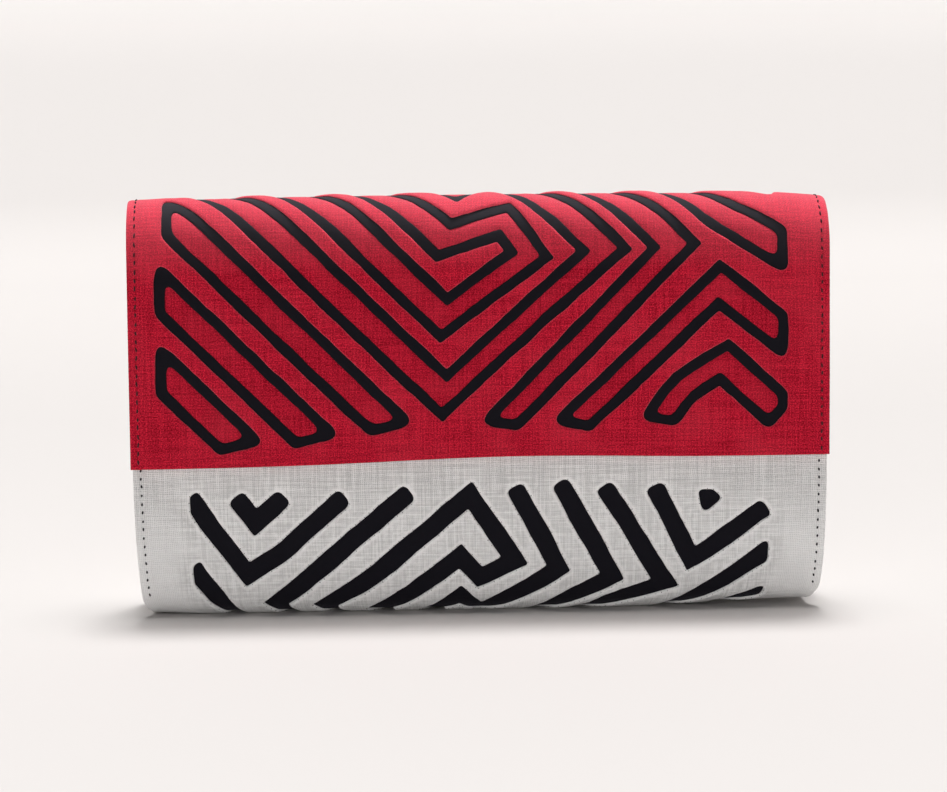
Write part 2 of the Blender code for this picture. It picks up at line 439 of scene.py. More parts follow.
def mitre(one, other, half_one, half_other):
    """Where the edges of two arms meet, from their turn. Each has a side way and half a width."""
    corner = one.x * other.y - one.y * other.x
    if abs(corner) < 0.05:
        return (one * half_one + other * half_other) / (1.0 + one.dot(other))
    u = (half_one * other.y - half_other * one.y) / corner
    v = (half_other * one.x - half_one * other.x) / corner
    return Vector((u, v))


def thick_line(turns, width, falling, rising, radii):
    """The band along a line of straight arms, with mitred turns. Slight bends are drawn out."""
    end_radius, turn_radius, bend_radius = radii
    points = [Vector(turn) for turn in turns]
    ways = [(b - a).normalized() for a, b in zip(points, points[1:])]
    sides = [Vector((-way.y, way.x)) for way in ways]
    halves = []
    for way, start, stop in zip(ways, points, points[1:]):
        long_fall = way.x * way.y < 0.0 and (stop - start).length > SHORT_ARM
        halves.append((width + (falling if long_fall else rising)) / 2)
    left, right = [], []
    for index, point in enumerate(points):
        before, after = max(0, index - 1), min(len(sides) - 1, index)
        reach = mitre(sides[before], sides[after], halves[before], halves[after])
        if before == after:
            radius = end_radius
        else:
            slight = ways[before].dot(ways[after]) > SLIGHT_BEND
            radius = bend_radius if slight else turn_radius
        left.append((*(point + reach), radius))
        right.append((*(point - reach), radius))
    return right + left[::-1]


def clipped(corners, inside, end_radius):
    """The part of a shape where inside(u, v) is positive. New corners get the end's rounding."""
    kept = []
    for here, after in zip(corners, corners[1:] + corners[:1]):
        depth, depth_after = inside(*here[:2]), inside(*after[:2])
        if depth >= 0.0:
            kept.append(here)
        if depth * depth_after < 0.0:
            share = depth / (depth - depth_after)
            u, v = mix(here[0], after[0], share), mix(here[1], after[1], share)
            kept.append((u, v, end_radius))
    return kept


def rounded(corners):
    """A closed loop of points with an arc at each corner."""
    loop = []
    count = len(corners)
    for index, (u, v, radius) in enumerate(corners):
        here = Vector((u, v))
        before = Vector(corners[index - 1][:2]) - here
        after = Vector(corners[(index + 1) % count][:2]) - here
        if before.length < 1e-6 or after.length < 1e-6:
            continue
        turn = math.pi - before.angle(after)
        room = ROUNDING_ROOM * min(before.length, after.length)
        tangent = min(room, radius * math.tan(turn / 2))
        start = here + before.normalized() * tangent
        end = here + after.normalized() * tangent
        steps = max(1, math.ceil(math.degrees(turn) / ARC_STEP))
        for step in range(steps + 1):
            share = step / steps
            low, high = start.lerp(here, share), here.lerp(end, share)
            loop.append(low.lerp(high, share))
    return loop


def spaced(loop, step):
    """The loop with points no further apart than one step, and none nearly on each other."""
    points = []
    for here, after in zip(loop, loop[1:] + loop[:1]):
        parts = max(1, math.ceil((after - here).length / step))
        for part in range(parts):
            point = here.lerp(after, part / parts)
            if not points or (point - points[-1]).length > CLOSEST_POINTS:
                points.append(point)
    return points


def steady_noise(place, seed):
    """A small vector of noise that is the same in every run, unlike noise.noise_vector."""
    here = Vector((*place, seed))
    return Vector((noise.noise(here), noise.noise(here + Vector((17.3, 41.9, 5.7)))))


def by_hand(loop, seed):
    """Moves a loop a little, as a hand cuts and turns an edge."""
    moved = []
    for point in loop:
        slow = steady_noise(point / WAVER_LENGTH, seed)
        quick = steady_noise(point / TREMBLE_LENGTH, seed + 31.0)
        moved.append(point + WAVER * slow + TREMBLE * quick)
    return moved


def row_height(lattice, row, u):
    """How high a row of the lattice lies on the cloth at u."""
    return lattice["valley_v"] + lattice["cell_v"] * row - lattice["lean"] * (u - lattice["valley_u"])


def inset_limits(field, cut, lattice, inset):
    """Tests for the field's edges, or the cut's own where it has them, moved in by an inset."""
    left, right = cut.get("left", field["left"]), cut.get("right", field["right"])
    limits = [
        lambda u, v: u - left - inset,
        lambda u, v: right - inset - u,
    ]
    top, foot = field.get("top"), cut.get("foot", field.get("foot"))
    if top is not None:
        limits.append(lambda u, v: row_height(lattice, top, u) - inset - v)
    if foot is not None:
        middle_u, middle_v = on_lattice(foot["at"], lattice)
        slope = foot.get("tilt", 0.0) - lattice["lean"]
        limits.append(lambda u, v: v - middle_v - slope * (u - middle_u) - inset)
    return limits


def on_lattice(turn, lattice):
    """A turn counted in cells, in millimetres of the flat cloth. The lattice leans a little."""
    u, v = lattice["cell_u"] * turn[0], lattice["cell_v"] * turn[1]
    lean = lattice["lean"]
    return lattice["valley_u"] + u + lean * v, lattice["valley_v"] + v - lean * u


def cut_loops(cuts, lattice, field, widths, inset, radii, seed):
    """The closed outlines of a pattern's cuts. An inset draws in their free ends and trims."""
    loops = []
    for index, cut in enumerate(cuts):
        if "corners" in cut:
            corners = [(*on_lattice(corner, lattice), radii[0]) for corner in cut["corners"]]
        else:
            turns = [Vector(on_lattice(turn, lattice)) for turn in cut["turns"]]
            turns[0] += inset * (turns[1] - turns[0]).normalized()
            turns[-1] += inset * (turns[-2] - turns[-1]).normalized()
            corners = thick_line(turns, *widths, radii)
        for inside in inset_limits(field, cut, lattice, inset):
            corners = clipped(corners, inside, cut.get("round", radii[0]))
        loops.append(by_hand(spaced(rounded(corners), CUT_STEP), seed + index * 0.37))
    return loops


def offset(loop, distance):
    """The loop's points moved to its right as the loop runs, by a distance."""
    moved = []
    for before, here, after in zip(loop[-1:] + loop[:-1], loop, loop[1:] + loop[:1]):
        way = (after - before).normalized()
        moved.append(here + distance * Vector((way.y, -way.x)))
    return moved


def runs_left(loop):
    """Whether the loop runs round its shape with the shape on its left."""
    return sum(a.cross(b) for a, b in zip(loop, loop[1:] + loop[:1])) > 0.0


def rectangle(left, low, right, high, step):
    corners = [(left, low), (right, low), (right, high), (left, high)]
    return spaced([Vector(corner) for corner in corners], step)


def inside_any(points, loops):
    """Which of the points lie inside one of the loops, by counting crossings."""
    found = np.zeros(len(points), bool)
    for loop in loops:
        ring = np.array([tuple(point) for point in loop])
        low, high = ring.min(axis=0), ring.max(axis=0)
        near = np.all((points >= low) & (points <= high), axis=1) & ~found
        some = points[near]
        odd = np.zeros(len(some), bool)
        for (u0, v0), (u1, v1) in zip(ring, np.roll(ring, -1, axis=0)):
            if v0 == v1:
                continue
            spans = (v0 > some[:, 1]) != (v1 > some[:, 1])
            odd ^= spans & (some[:, 0] < u0 + (some[:, 1] - v0) * (u1 - u0) / (v1 - v0))
        found[np.flatnonzero(near)[odd]] = True
    return found


def distances(points, loops):
    """How far each point is from the nearest of the loops."""
    if not loops:
        return np.full(len(points), 1000.0)
    marks = [point for loop in loops for point in spaced(loop, DISTANCE_STEP)]
    tree = kdtree.KDTree(len(marks))
    for index, point in enumerate(marks):
        tree.insert((point.x, point.y, 0.0), index)
    tree.balance()
    return np.array([tree.find((u, v, 0.0))[2] for u, v in points])


def planned(border, holes, rings, grid_step, extra=()):
    """Triangles of the flat cloth between its border and its holes."""
    points, edges, free = [], [], []
    for loop in [border, *holes]:
        first = len(points)
        points += [tuple(point) for point in loop]
        edges += [(first + k, first + (k + 1) % len(loop)) for k in range(len(loop))]
        is_border = loop is border
        side = 1.0 if runs_left(loop) != is_border else -1.0
        for distance in rings:
            free += [tuple(point) for point in offset(loop, side * distance)]
    free += [tuple(point) for point in extra]
    free = np.array(free)
    keep = inside_any(free, [border]) & ~inside_any(free, holes)
    free = free[keep]
    gap = distances(free, [border, *holes])
    free = free[gap > CLEAR_OF_EDGES * min(rings)]
    edge = np.array([tuple(point) for point in border])
    low, high = edge.min(axis=0), edge.max(axis=0)
    rows = np.arange(low[1], high[1], grid_step * FIELD_ROWS)
    grid = [
        (u, v)
        for row, v in enumerate(rows)
        for u in np.arange(low[0] + (row % 2) * grid_step / 2, high[0], grid_step)
    ]
    grid = np.array(grid)
    grid = grid[inside_any(grid, [border]) & ~inside_any(grid, holes)]
    clear = max(rings) + CLEAR_OF_RINGS * grid_step
    grid = grid[distances(grid, [border, *holes]) > clear]
    everything = points + [tuple(p) for p in free] + [tuple(p) for p in grid]
    done = geometry.delaunay_2d_cdt([Vector(p) for p in everything], edges, [], 0, 1e-5)
    flat = np.array([tuple(p) for p in done[0]])
    faces = np.array([face for face in done[2] if len(face) == 3])
    middle = flat[faces].mean(axis=1)
    faces = faces[inside_any(middle, [border]) & ~inside_any(middle, holes)]
    a, b, c = flat[faces[:, 0]], flat[faces[:, 1]], flat[faces[:, 2]]
    turn = (b - a)[:, 0] * (c - a)[:, 1] - (b - a)[:, 1] * (c - a)[:, 0]
    faces[turn < 0.0] = faces[turn < 0.0][:, ::-1]
    used = np.unique(faces)
    place = np.full(len(flat), -1)
    place[used] = np.arange(len(used))
    return flat[used], place[faces]


def riding_piece(name, mesh, material):
    """A smooth piece of one material that rides on the bag."""
    mesh.shade_smooth()
    mesh.materials.append(material)
    piece = bpy.data.objects.new(name, mesh)
    bpy.context.scene.collection.objects.link(piece)
    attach(piece, "root")
    return piece


def cloth_piece(name, fold, flat, faces, top, under, material, from_cut=None):
    """A closed cloth with a top and an under face, laid round the bag by its fold.

    Its material may read from_cut, how far each point is from the nearest cut.
    """
    count = len(flat)
    verts = [fold.at(u, v, height) for (u, v), height in zip(flat, top)]
    verts += [fold.at(u, v, height) for (u, v), height in zip(flat, under)]
    edges = {}
    for a, b, c in faces:
        for one, other in ((a, b), (b, c), (c, a)):
            edges[(one, other)] = True
    rim = [(one, other) for one, other in edges if (other, one) not in edges]
    polygons = [tuple(int(k) for k in face) for face in faces]
    polygons += [tuple(int(k) + count for k in face[::-1]) for face in faces]
    polygons += [(int(b), int(a), int(a) + count, int(b) + count) for a, b in rim]
    mesh = bpy.data.meshes.new(name)
    mesh.from_pydata(verts, [], polygons)
    plan = mesh.uv_layers.new(name="cloth")
    corners = np.empty(len(mesh.loops), int)
    mesh.loops.foreach_get("vertex_index", corners)
    plan.data.foreach_set("uv", (flat[corners % count] * MM).astype(np.float32).ravel())
    if from_cut is not None:
        layer = mesh.attributes.new("from_cut", "FLOAT", "POINT")
        layer.data.foreach_set("value", np.tile(from_cut, 2).astype(np.float32))
    mesh.validate()
    return riding_piece(name, mesh, material)


def pillow(distance, lip, crown, lip_reach=LIP_REACH):
    """Height over a turned edge: a quick round lip and then a slow crown."""
    quick, slow = 1.0 - np.exp(-distance / lip_reach), 1.0 - np.exp(-distance / CROWN_REACH)
    return lip * quick + crown * slow


def pressed(from_border):
    """The share of its rise that a cloth keeps by its outer edge, which is turned and pressed."""
    return PRESSED_SHARE + (1.0 - PRESSED_SHARE) * (1.0 - np.exp(-from_border / PRESSED_REACH))


def ripples(flat, height, length, seed):
    rise = [noise.noise(Vector((u / length, v / length, seed))) for u, v in flat]
    return height * np.array(rise)


def seam_dip(flat, half_width):
    """How far the side seams' stitches draw the cloth in."""
    beside = np.abs(np.abs(flat[:, 0]) - (half_width - SEAM_INSET))
    beat = 0.65 + 0.35 * np.cos(2.0 * math.pi * flat[:, 1] / STITCH_PITCH)
    return SEAM_DIP * np.exp(-((beside / SEAM_DIP_REACH) ** 2)) * beat


def seam_columns(half_width, low, high):
    """Extra points beside both side seams, so that the dips have a shape."""
    rows = np.arange(low, high, STITCH_PITCH / 3)
    beside = (-1.3, -0.6, 0.0, 0.6, 1.3)
    return [
        Vector((side * (half_width - SEAM_INSET + step), v))
        for side in (-1, 1)
        for step in beside
        for v in rows
    ]


# Materials


class Shader:
    """A material's nodes, added and joined by short calls."""

    def __init__(self, name):
        self.material = bpy.data.materials.new(name)
        self.material.use_nodes = True
        self.tree = self.material.node_tree
        self.surface = self.tree.nodes["Principled BSDF"]

    def add(self, kind, **values):
        node = self.tree.nodes.new(kind)
        for key, value in values.items():
            setattr(node, key, value)
        return node

    def join(self, source, target):
        self.tree.links.new(source, target)

    def feed(self, value, target):
        if isinstance(value, bpy.types.NodeSocket):
            self.join(value, target)
        else:
            target.default_value = value

    def math(self, operation, first, second=0.0, third=0.0):
        node = self.add("ShaderNodeMath", operation=operation)
        for value, target in zip((first, second, third), node.inputs):
            self.feed(value, target)
        return node.outputs[0]

    def blend(self, share, first, second):
        node = self.add("ShaderNodeMix", data_type="RGBA")
        self.feed(share, node.inputs["Factor"])
        for value, key in ((first, 6), (second, 7)):
            if not isinstance(value, bpy.types.NodeSocket):
                value = (*value, 1.0)
            self.feed(value, node.inputs[key])
        return node.outputs[2]

    def share_of(self, value, share):
        return self.math("MULTIPLY", value, share)

    def ramp(self, value, low, high):
        node = self.add("ShaderNodeMapRange")
        self.join(value, node.inputs["Value"])
        node.inputs["From Min"].default_value = low
        node.inputs["From Max"].default_value = high
        return node.outputs[0]

    def noise(self, place, scale, detail=2.0, roughness=0.5):
        node = self.add("ShaderNodeTexNoise")
        node.inputs["Scale"].default_value = scale
        node.inputs["Detail"].default_value = detail
        node.inputs["Roughness"].default_value = roughness
        self.join(place, node.inputs["Vector"])
        return node.outputs["Fac"]

    def stretched(self, place, along_u, along_v):
        node = self.add("ShaderNodeMapping")
        node.inputs["Scale"].default_value = (along_u, along_v, 1.0)
        self.join(place, node.inputs["Vector"])
        return node.outputs["Vector"]

    def note(self, name):
        node = self.add("ShaderNodeAttribute", attribute_name=name)
        return node.outputs["Fac"]

    def plan(self, on_plan):
        """Cloth coordinates in metres: the plan's own map, or the end wall's Y and Z."""
        if on_plan:
            return self.add("ShaderNodeUVMap", uv_map="cloth").outputs["UV"]
        split = self.add("ShaderNodeSeparateXYZ")
        join = self.add("ShaderNodeCombineXYZ")
        self.join(self.add("ShaderNodeTexCoord").outputs["Object"], split.inputs[0])
        self.join(split.outputs["Y"], join.inputs["X"])
        self.join(split.outputs["Z"], join.inputs["Y"])
        return join.outputs[0]


def weave(shader, place, pitch, slub):
    """A plain weave: the height of its threads, and how light each thread is."""
    wander = pitch * slub
    drift_u = shader.math("MULTIPLY", shader.noise(shader.stretched(place, 60, 240), 1.0), wander)
    drift_v = shader.math("MULTIPLY", shader.noise(shader.stretched(place, 240, 60), 1.0), wander)
    split = shader.add("ShaderNodeSeparateXYZ")
    shader.join(place, split.inputs[0])
    u = shader.math("ADD", split.outputs["X"], drift_u)
    v = shader.math("ADD", split.outputs["Y"], drift_v)
    turn = math.pi / pitch
    wave_u = shader.math("SINE", shader.math("MULTIPLY", u, turn))
    wave_v = shader.math("SINE", shader.math("MULTIPLY", v, turn))
    over = shader.math("MULTIPLY", wave_u, wave_v)
    round_u = shader.math("ABSOLUTE", wave_u)
    round_v = shader.math("ABSOLUTE", wave_v)
    warp = shader.math("MULTIPLY", round_u, shader.math("MULTIPLY_ADD", over, 0.5, 0.5))
    weft = shader.math("MULTIPLY", round_v, shader.math("MULTIPLY_ADD", over, -0.5, 0.5))
    height = shader.math("MAXIMUM", warp, weft)
    warp_slub = shader.noise(shader.stretched(place, 1300, 45), 1.0, 1.0)
    weft_slub = shader.noise(shader.stretched(place, 45, 1300), 1.0, 1.0)
    slubs = shader.math("ADD", warp_slub, weft_slub)
    return height, slubs


def bumped(shader, height, distance, strength=1.0, under=None):
    node = shader.add("ShaderNodeBump")
    node.inputs["Distance"].default_value = distance
    node.inputs["Strength"].default_value = strength
    shader.join(height, node.inputs["Height"])
    if under is not None:
        shader.join(under, node.inputs["Normal"])
    return node.outputs["Normal"]


def cloth_finish(shader, roughness, sheen, sheen_roughness, tint):
    """The soft sheen of cloth, the same all over it."""
    surface = shader.surface.inputs
    surface["Roughness"].default_value = roughness
    surface["Metallic"].default_value = 0.0
    surface["Specular IOR Level"].default_value = 0.06
    surface["Sheen Weight"].default_value = sheen
    surface["Sheen Roughness"].default_value = sheen_roughness
    surface["Sheen Tint"].default_value = (*tint, 1.0)


def fold_highlight(shader, place):
    """How near a place of the flap is to the top fold, where a highlight of the top light is painted.
    """
    split = shader.add("ShaderNodeSeparateXYZ")
    shader.join(place, split.inputs[0])
    before = shader.ramp(split.outputs["Y"], *HIGHLIGHT_FROM_FRONT)
    behind = shader.ramp(split.outputs["Y"], *HIGHLIGHT_FROM_BACK)
    return shader.math("MINIMUM", before, behind)


def red_linen(name, recess_shade):
    """Red linen: fine uneven threads, with a painted highlight along the fold. The top cloth also has
    a painted highlight on its turned edges; the inlay strips get painted shade, as they lie sunk
    under the black cloth.
    """
    shader = Shader(name)
    place = shader.plan(True)
    height, slubs = weave(shader, place, *RED_WEAVE)
    cloudy = shader.noise(place, 42.0, 3.0)
    grain = shader.ramp(shader.noise(place, 1900.0, 1.0, 0.6), 0.36, 0.64)
    speckle = shader.math("MULTIPLY_ADD", shader.ramp(slubs, 0.80, 1.20), 0.45, grain)
    colour = shader.blend(shader.ramp(speckle, 0.10, 1.30), RED_DEEP, RED_BRIGHT)
    gaps = shader.ramp(height, 0.40, 0.05)
    colour = shader.blend(shader.share_of(gaps, 0.85), colour, RED_GAP)
    faded = shader.ramp(cloudy, 0.45, 0.75)
    colour = shader.blend(shader.share_of(faded, 0.30), colour, RED_FADED_AND_HIGHLIGHT)
    # painted shade on the inlay strips, which lie sunk under the black cloth
    if recess_shade:
        colour = shader.blend(0.15, colour, RED_DEEP)
    else:
        # painted highlight along the turned edges of the cuts
        lip = shader.ramp(shader.note("from_cut"), 0.60, 0.10)
        colour = shader.blend(shader.share_of(lip, 0.55), colour, RED_FADED_AND_HIGHLIGHT)
    # painted highlight of the top light: paler and pinker towards the top fold
    colour = shader.blend(shader.share_of(fold_highlight(shader, place), 0.55), colour, RED_FOLD_HIGHLIGHT)
    shader.join(colour, shader.surface.inputs["Base Color"])
    pucker = bumped(shader, shader.noise(place, 260.0, 2.0), 0.5 * MM, 0.35)
    normal = bumped(shader, shader.math("ADD", height, slubs), 0.18 * MM, 1.0, pucker)
    shader.join(normal, shader.surface.inputs["Normal"])
    cloth_finish(shader, 0.85, 0.60, 0.30, (1.0, 0.55, 0.60))
    return shader.material


def natural_linen(name, on_plan):
    """Undyed linen: an open weave, whiter and closer by the cuts, where it is turned under, with a
    painted highlight on the crest of each turned edge and painted bounce light from the floor near
    the base.

    On the end walls, which have no cuts and stand on no plan, it is the plain weave alone.
    """
    shader = Shader(name)
    place = shader.plan(on_plan)
    height, slubs = weave(shader, place, *LINEN_WEAVE)
    grain = shader.ramp(shader.noise(place, 1400.0, 2.0, 0.75), 0.42, 0.66)
    cloudy = shader.ramp(shader.noise(place, 55.0, 3.0), 0.40, 0.80)
    thick = shader.ramp(shader.noise(shader.stretched(place, 1500, 26), 1.0, 1.0), 0.62, 0.74)
    colour = shader.blend(shader.ramp(slubs, 0.80, 1.20), NATURAL_GREY, NATURAL)
    colour = shader.blend(shader.share_of(thick, 0.55), colour, NATURAL_LIGHT)
    pinholes = shader.share_of(shader.ramp(height, 0.50, 0.06), 0.95)
    if on_plan:
        split = shader.add("ShaderNodeSeparateXYZ")
        shader.join(place, split.inputs[0])
        # painted bounce light from the floor: the linen is lighter and shows fewer pinholes near the
        # base
        base_bounce_share = shader.ramp(split.outputs["Y"], *PAINTED_BOUNCE_NEAR_BASE)
        colour = shader.blend(shader.share_of(base_bounce_share, 0.90), colour, NATURAL_LIGHT)
        closed = shader.math("MULTIPLY_ADD", base_bounce_share, -0.50, 1.0)
        pinholes = shader.math("MULTIPLY", pinholes, closed)
    colour = shader.blend(pinholes, colour, NATURAL_GAP)
    colour = shader.blend(shader.share_of(grain, 0.45), colour, NATURAL_LIGHT)
    colour = shader.blend(shader.share_of(cloudy, 0.25), colour, NATURAL_GREY)
    if on_plan:
        from_cut = shader.note("from_cut")
        turned = shader.blend(shader.ramp(slubs, 0.76, 1.22), DOUBLED_GREY, DOUBLED)
        mottle = shader.ramp(shader.noise(place, 420.0, 3.0, 0.65), 0.50, 0.66)
        turned = shader.blend(shader.share_of(mottle, 0.40), turned, DOUBLED_SHADE)
        turned = shader.blend(shader.share_of(pinholes, 0.45), turned, DOUBLED_GAP)
        doubled = shader.ramp(from_cut, 9.0, 2.5)
        colour = shader.blend(shader.share_of(doubled, 0.85), colour, turned)
        # painted highlight on the crest of each turned edge, right beside the cut
        ridge_highlight = shader.ramp(from_cut, 2.0, 0.8)
        colour = shader.blend(shader.share_of(ridge_highlight, 0.85), colour, NATURAL_LIGHT)
    shader.join(colour, shader.surface.inputs["Base Color"])
    pucker = bumped(shader, shader.noise(place, 300.0, 3.0), 0.8 * MM, 0.8)
    normal = bumped(shader, shader.math("ADD", height, slubs), 0.18 * MM, 0.9, pucker)
    shader.join(normal, shader.surface.inputs["Normal"])
    cloth_finish(shader, 0.88, 0.15, 0.5, (1.0, 0.98, 0.95))
    return shader.material


def black_cotton(name):
    """Black cotton: a close fine weave with a little lint, and a painted highlight along the fold."""
    shader = Shader(name)
    place = shader.plan(True)
    height, slubs = weave(shader, place, *COTTON_WEAVE)
    lint = shader.ramp(shader.noise(place, 900.0, 3.0, 0.8), 0.60, 0.80)
    colour = shader.blend(shader.share_of(lint, 0.35), BLACK, BLACK_LINT)
    # painted highlight of the top light: greyer towards the top fold
    colour = shader.blend(shader.share_of(fold_highlight(shader, place), 0.5), colour, BLACK_FOLD_HIGHLIGHT)
    shader.join(colour, shader.surface.inputs["Base Color"])
    normal = bumped(shader, shader.math("ADD", height, slubs), 0.12 * MM, 0.8)
    shader.join(normal, shader.surface.inputs["Normal"])
    cloth_finish(shader, 0.85, 0.12, 0.40, (0.60, 0.56, 0.66))
    return shader.material


def thread_material(name, colour):
    """Twisted sewing thread, its fibres a little lighter than its dye."""
    shader = Shader(name)
    place = shader.add("ShaderNodeTexCoord").outputs["Object"]
    fibres = shader.noise(place, 6000.0, 2.0, 0.7)
    light = tuple(min(1.0, channel * 1.9 + 0.01) for channel in colour)
    twisted = shader.blend(shader.ramp(fibres, 0.35, 0.75), colour, light)
    shader.join(twisted, shader.surface.inputs["Base Color"])
    shader.join(bumped(shader, fibres, 0.08 * MM, 0.7), shader.surface.inputs["Normal"])
    cloth_finish(shader, 0.65, 0.25, 0.4, (1.0, 0.9, 0.9))
    return shader.material


def floor_material():
    """Pale board. Its far sweep glows a little, as the studio's own lamp would light it."""
    shader = Shader("plain_floor")
    split = shader.add("ShaderNodeSeparateXYZ")
    shader.join(shader.add("ShaderNodeTexCoord").outputs["Object"], split.inputs[0])
    glow = shader.ramp(split.outputs["Z"], 0.0, 0.30)
    far = shader.ramp(split.outputs["Y"], 0.0, 0.7)
    shader.join(shader.blend(far, FLOOR, FLOOR_FAR), shader.surface.inputs["Base Color"])
    shader.join(shader.math("MULTIPLY", glow, SWEEP_GLOW), shader.surface.inputs["Emission Strength"])
    shader.surface.inputs["Emission Color"].default_value = (*FLOOR, 1.0)
    shader.surface.inputs["Roughness"].default_value = 0.9
    shader.surface.inputs["Specular IOR Level"].default_value = 0.1
    return shader.material


# The cloths of the flap


def flap_cloths(red, recess_shaded_red, black):
    """The red mola with its cut slots, the black cloth with its cut bars, and the inlay strips."""
    half, length = FLAP_WIDTH / 2, FLAP.last_v - FLAP.first_v
    plan = (FLAP_CUTS, FLAP_LATTICE, FLAP_FIELD)
    cuts = cut_loops(*plan, (RED_SLOT, RED_FALLING, RED_RISING), 0.0, RED_RADII, 3.0)
    bars = cut_loops(*plan, (INLAY_BAR, RED_FALLING, RED_RISING), OUTLINE, BAR_RADII, 5.0)

    border = rectangle(-half, FLAP.first_v, half, FLAP.last_v, BORDER_STEP)
    columns = seam_columns(half, FLAP.first_v + SEAM_END, FLAP.last_v - SEAM_END)
    flat, faces = planned(border, cuts, CUT_RINGS, FIELD_STEP, columns)
    from_cut, from_border = distances(flat, cuts), distances(flat, [border])
    turned_hem = np.clip(HEM_TURN - (flat[:, 1] - FLAP.first_v), 0.0, 1.0)
    under = RED_UNDER - (RED_UNDER - HEM_UNDER) * turned_hem
    puff = pillow(from_cut, RED_LIP, RED_CROWN) + ripples(flat, *RED_RIPPLE)
    height = RED_UNDER + LIP_START + puff * pressed(from_border) - seam_dip(flat, half)
    top = np.maximum(height, under + LEAST_CLOTH)
    mola = cloth_piece("flap_red_cloth", FLAP, flat, faces, top, under, red, from_cut)
    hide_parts("flap_mola")

    side = half - FLAP_BLACK_SIDE
    low, high = FLAP.first_v + FLAP_BLACK_HEM, FLAP.last_v - FLAP_BLACK_TAIL
    border = rectangle(-side, low, side, high, BORDER_STEP)
    flat, faces = planned(border, bars, BAR_RINGS, FIELD_STEP * 1.25)
    lip = BLACK_TOP - BLACK_UNDER - BLACK_LIP_START
    puff = pillow(distances(flat, bars), lip, 0.0, BLACK_LIP_REACH)
    top = BLACK_UNDER + BLACK_LIP_START + puff
    under = np.full(len(flat), BLACK_UNDER)
    backing = cloth_piece("flap_black_cloth", FLAP, flat, faces, top, under, black)
    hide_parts("flap_base")
    inlay_strips(bars, recess_shaded_red)


def inlay_strips(bars, material):
    """Red strips under the black cloth, which swell up into its cut bars."""
    flats, all_faces, from_edge = [], [], []
    first = 0
    for bar in bars:
        side = 1.0 if runs_left(bar) else -1.0
        outline = spaced(offset(bar, side * INLAY_TUCK), CUT_STEP * 1.2)
        flat, faces = planned(outline, [], INLAY_RINGS, FIELD_STEP)
        flats.append(flat)
        all_faces.append(faces + first)
        from_edge.append(distances(flat, [outline]))
        first += len(flat)
    flat, faces = np.concatenate(flats), np.concatenate(all_faces)
    inward = np.concatenate(from_edge) - INLAY_SWELL_START
    swell = 1.0 - (1.0 - np.clip(inward / INLAY_SWELL_REACH, 0.0, 1.0)) ** 2
    top = mix(INLAY_EDGE, INLAY_CROWN, swell) + ripples(flat, *INLAY_RIPPLE) * swell
    under = np.full(len(flat), INLAY_UNDER)
    piece = cloth_piece("flap_inlay_strips", FLAP, flat, faces, top, under, material)


# The cloths of the body


def body_cloths(linen, black):
    """The linen mola with its cut slots, and the whole black cloth under it."""
    half = BODY_WIDTH / 2
    low, high = BODY.last_v, BODY.first_v
    plan = (BODY_CUTS, BODY_LATTICE, BODY_FIELD)
    cuts = cut_loops(*plan, (LINEN_SLOT, 0.0, 0.0), 0.0, LINEN_RADII, 8.0)

    border = rectangle(-half, low, half, high, BORDER_STEP)
    columns = seam_columns(half, low + SEAM_END, high - SEAM_END)
    flat, faces = planned(border, cuts, CUT_RINGS, FIELD_STEP, columns)
    from_cut, from_border = distances(flat, cuts), distances(flat, [border])
    wrinkles = ripples(flat, *CUT_WRINKLE) * np.exp(-from_cut / CUT_WRINKLE_REACH)
    puff = pillow(from_cut, LINEN_LIP, LINEN_CROWN) + wrinkles + ripples(flat, *LINEN_RIPPLE)
    height = LINEN_UNDER + LIP_START + puff * pressed(from_border) - seam_dip(flat, half)
    under = np.full(len(flat), LINEN_UNDER)
    top = np.maximum(height, under + LEAST_CLOTH)
    on_floor = (flat[:, 1] < FLOOR_HIGH) & (flat[:, 1] > FLOOR_LOW)
    top = np.where(on_floor, np.minimum(top, 0.0), top)
    mola = cloth_piece("body_linen_cloth", BODY, flat, faces, top, under, linen, from_cut)
    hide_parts("body_mola")

    side, low, high = half - BODY_BLACK_SIDE, low + BODY_BLACK_END, high - BODY_BLACK_END
    border = rectangle(-side, low, side, high, BORDER_STEP * 2)
    flat, faces = planned(border, [], PLAIN_RINGS, FIELD_STEP * 1.3)
    top = np.full(len(flat), BODY_BLACK_TOP)
    under = np.full(len(flat), BODY_BLACK_UNDER)
    backing = cloth_piece("body_black_cloth", BODY, flat, faces, top, under, black)
    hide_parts("body_base")
    return cuts


# The end walls


def gusset_rim(side):
    """Y and Z down the edge of an end wall, and X of the body's own edge there."""
    rim = []
    for section in ("front", "front_corner"):
        for step in range(GUSSET_STEPS + 1):
            share = step / GUSSET_STEPS
            y, z = body_point(section, share, side * BODY_WIDTH / 2, -GUSSET_INWARD)
            x = body_half_width(body_point(section, share, 0.0, 0.0)[1])
            if not rim or (Vector((y, z)) - Vector(rim[-1][:2])).length > 0.05:
                rim.append((y, z, x))
    return rim


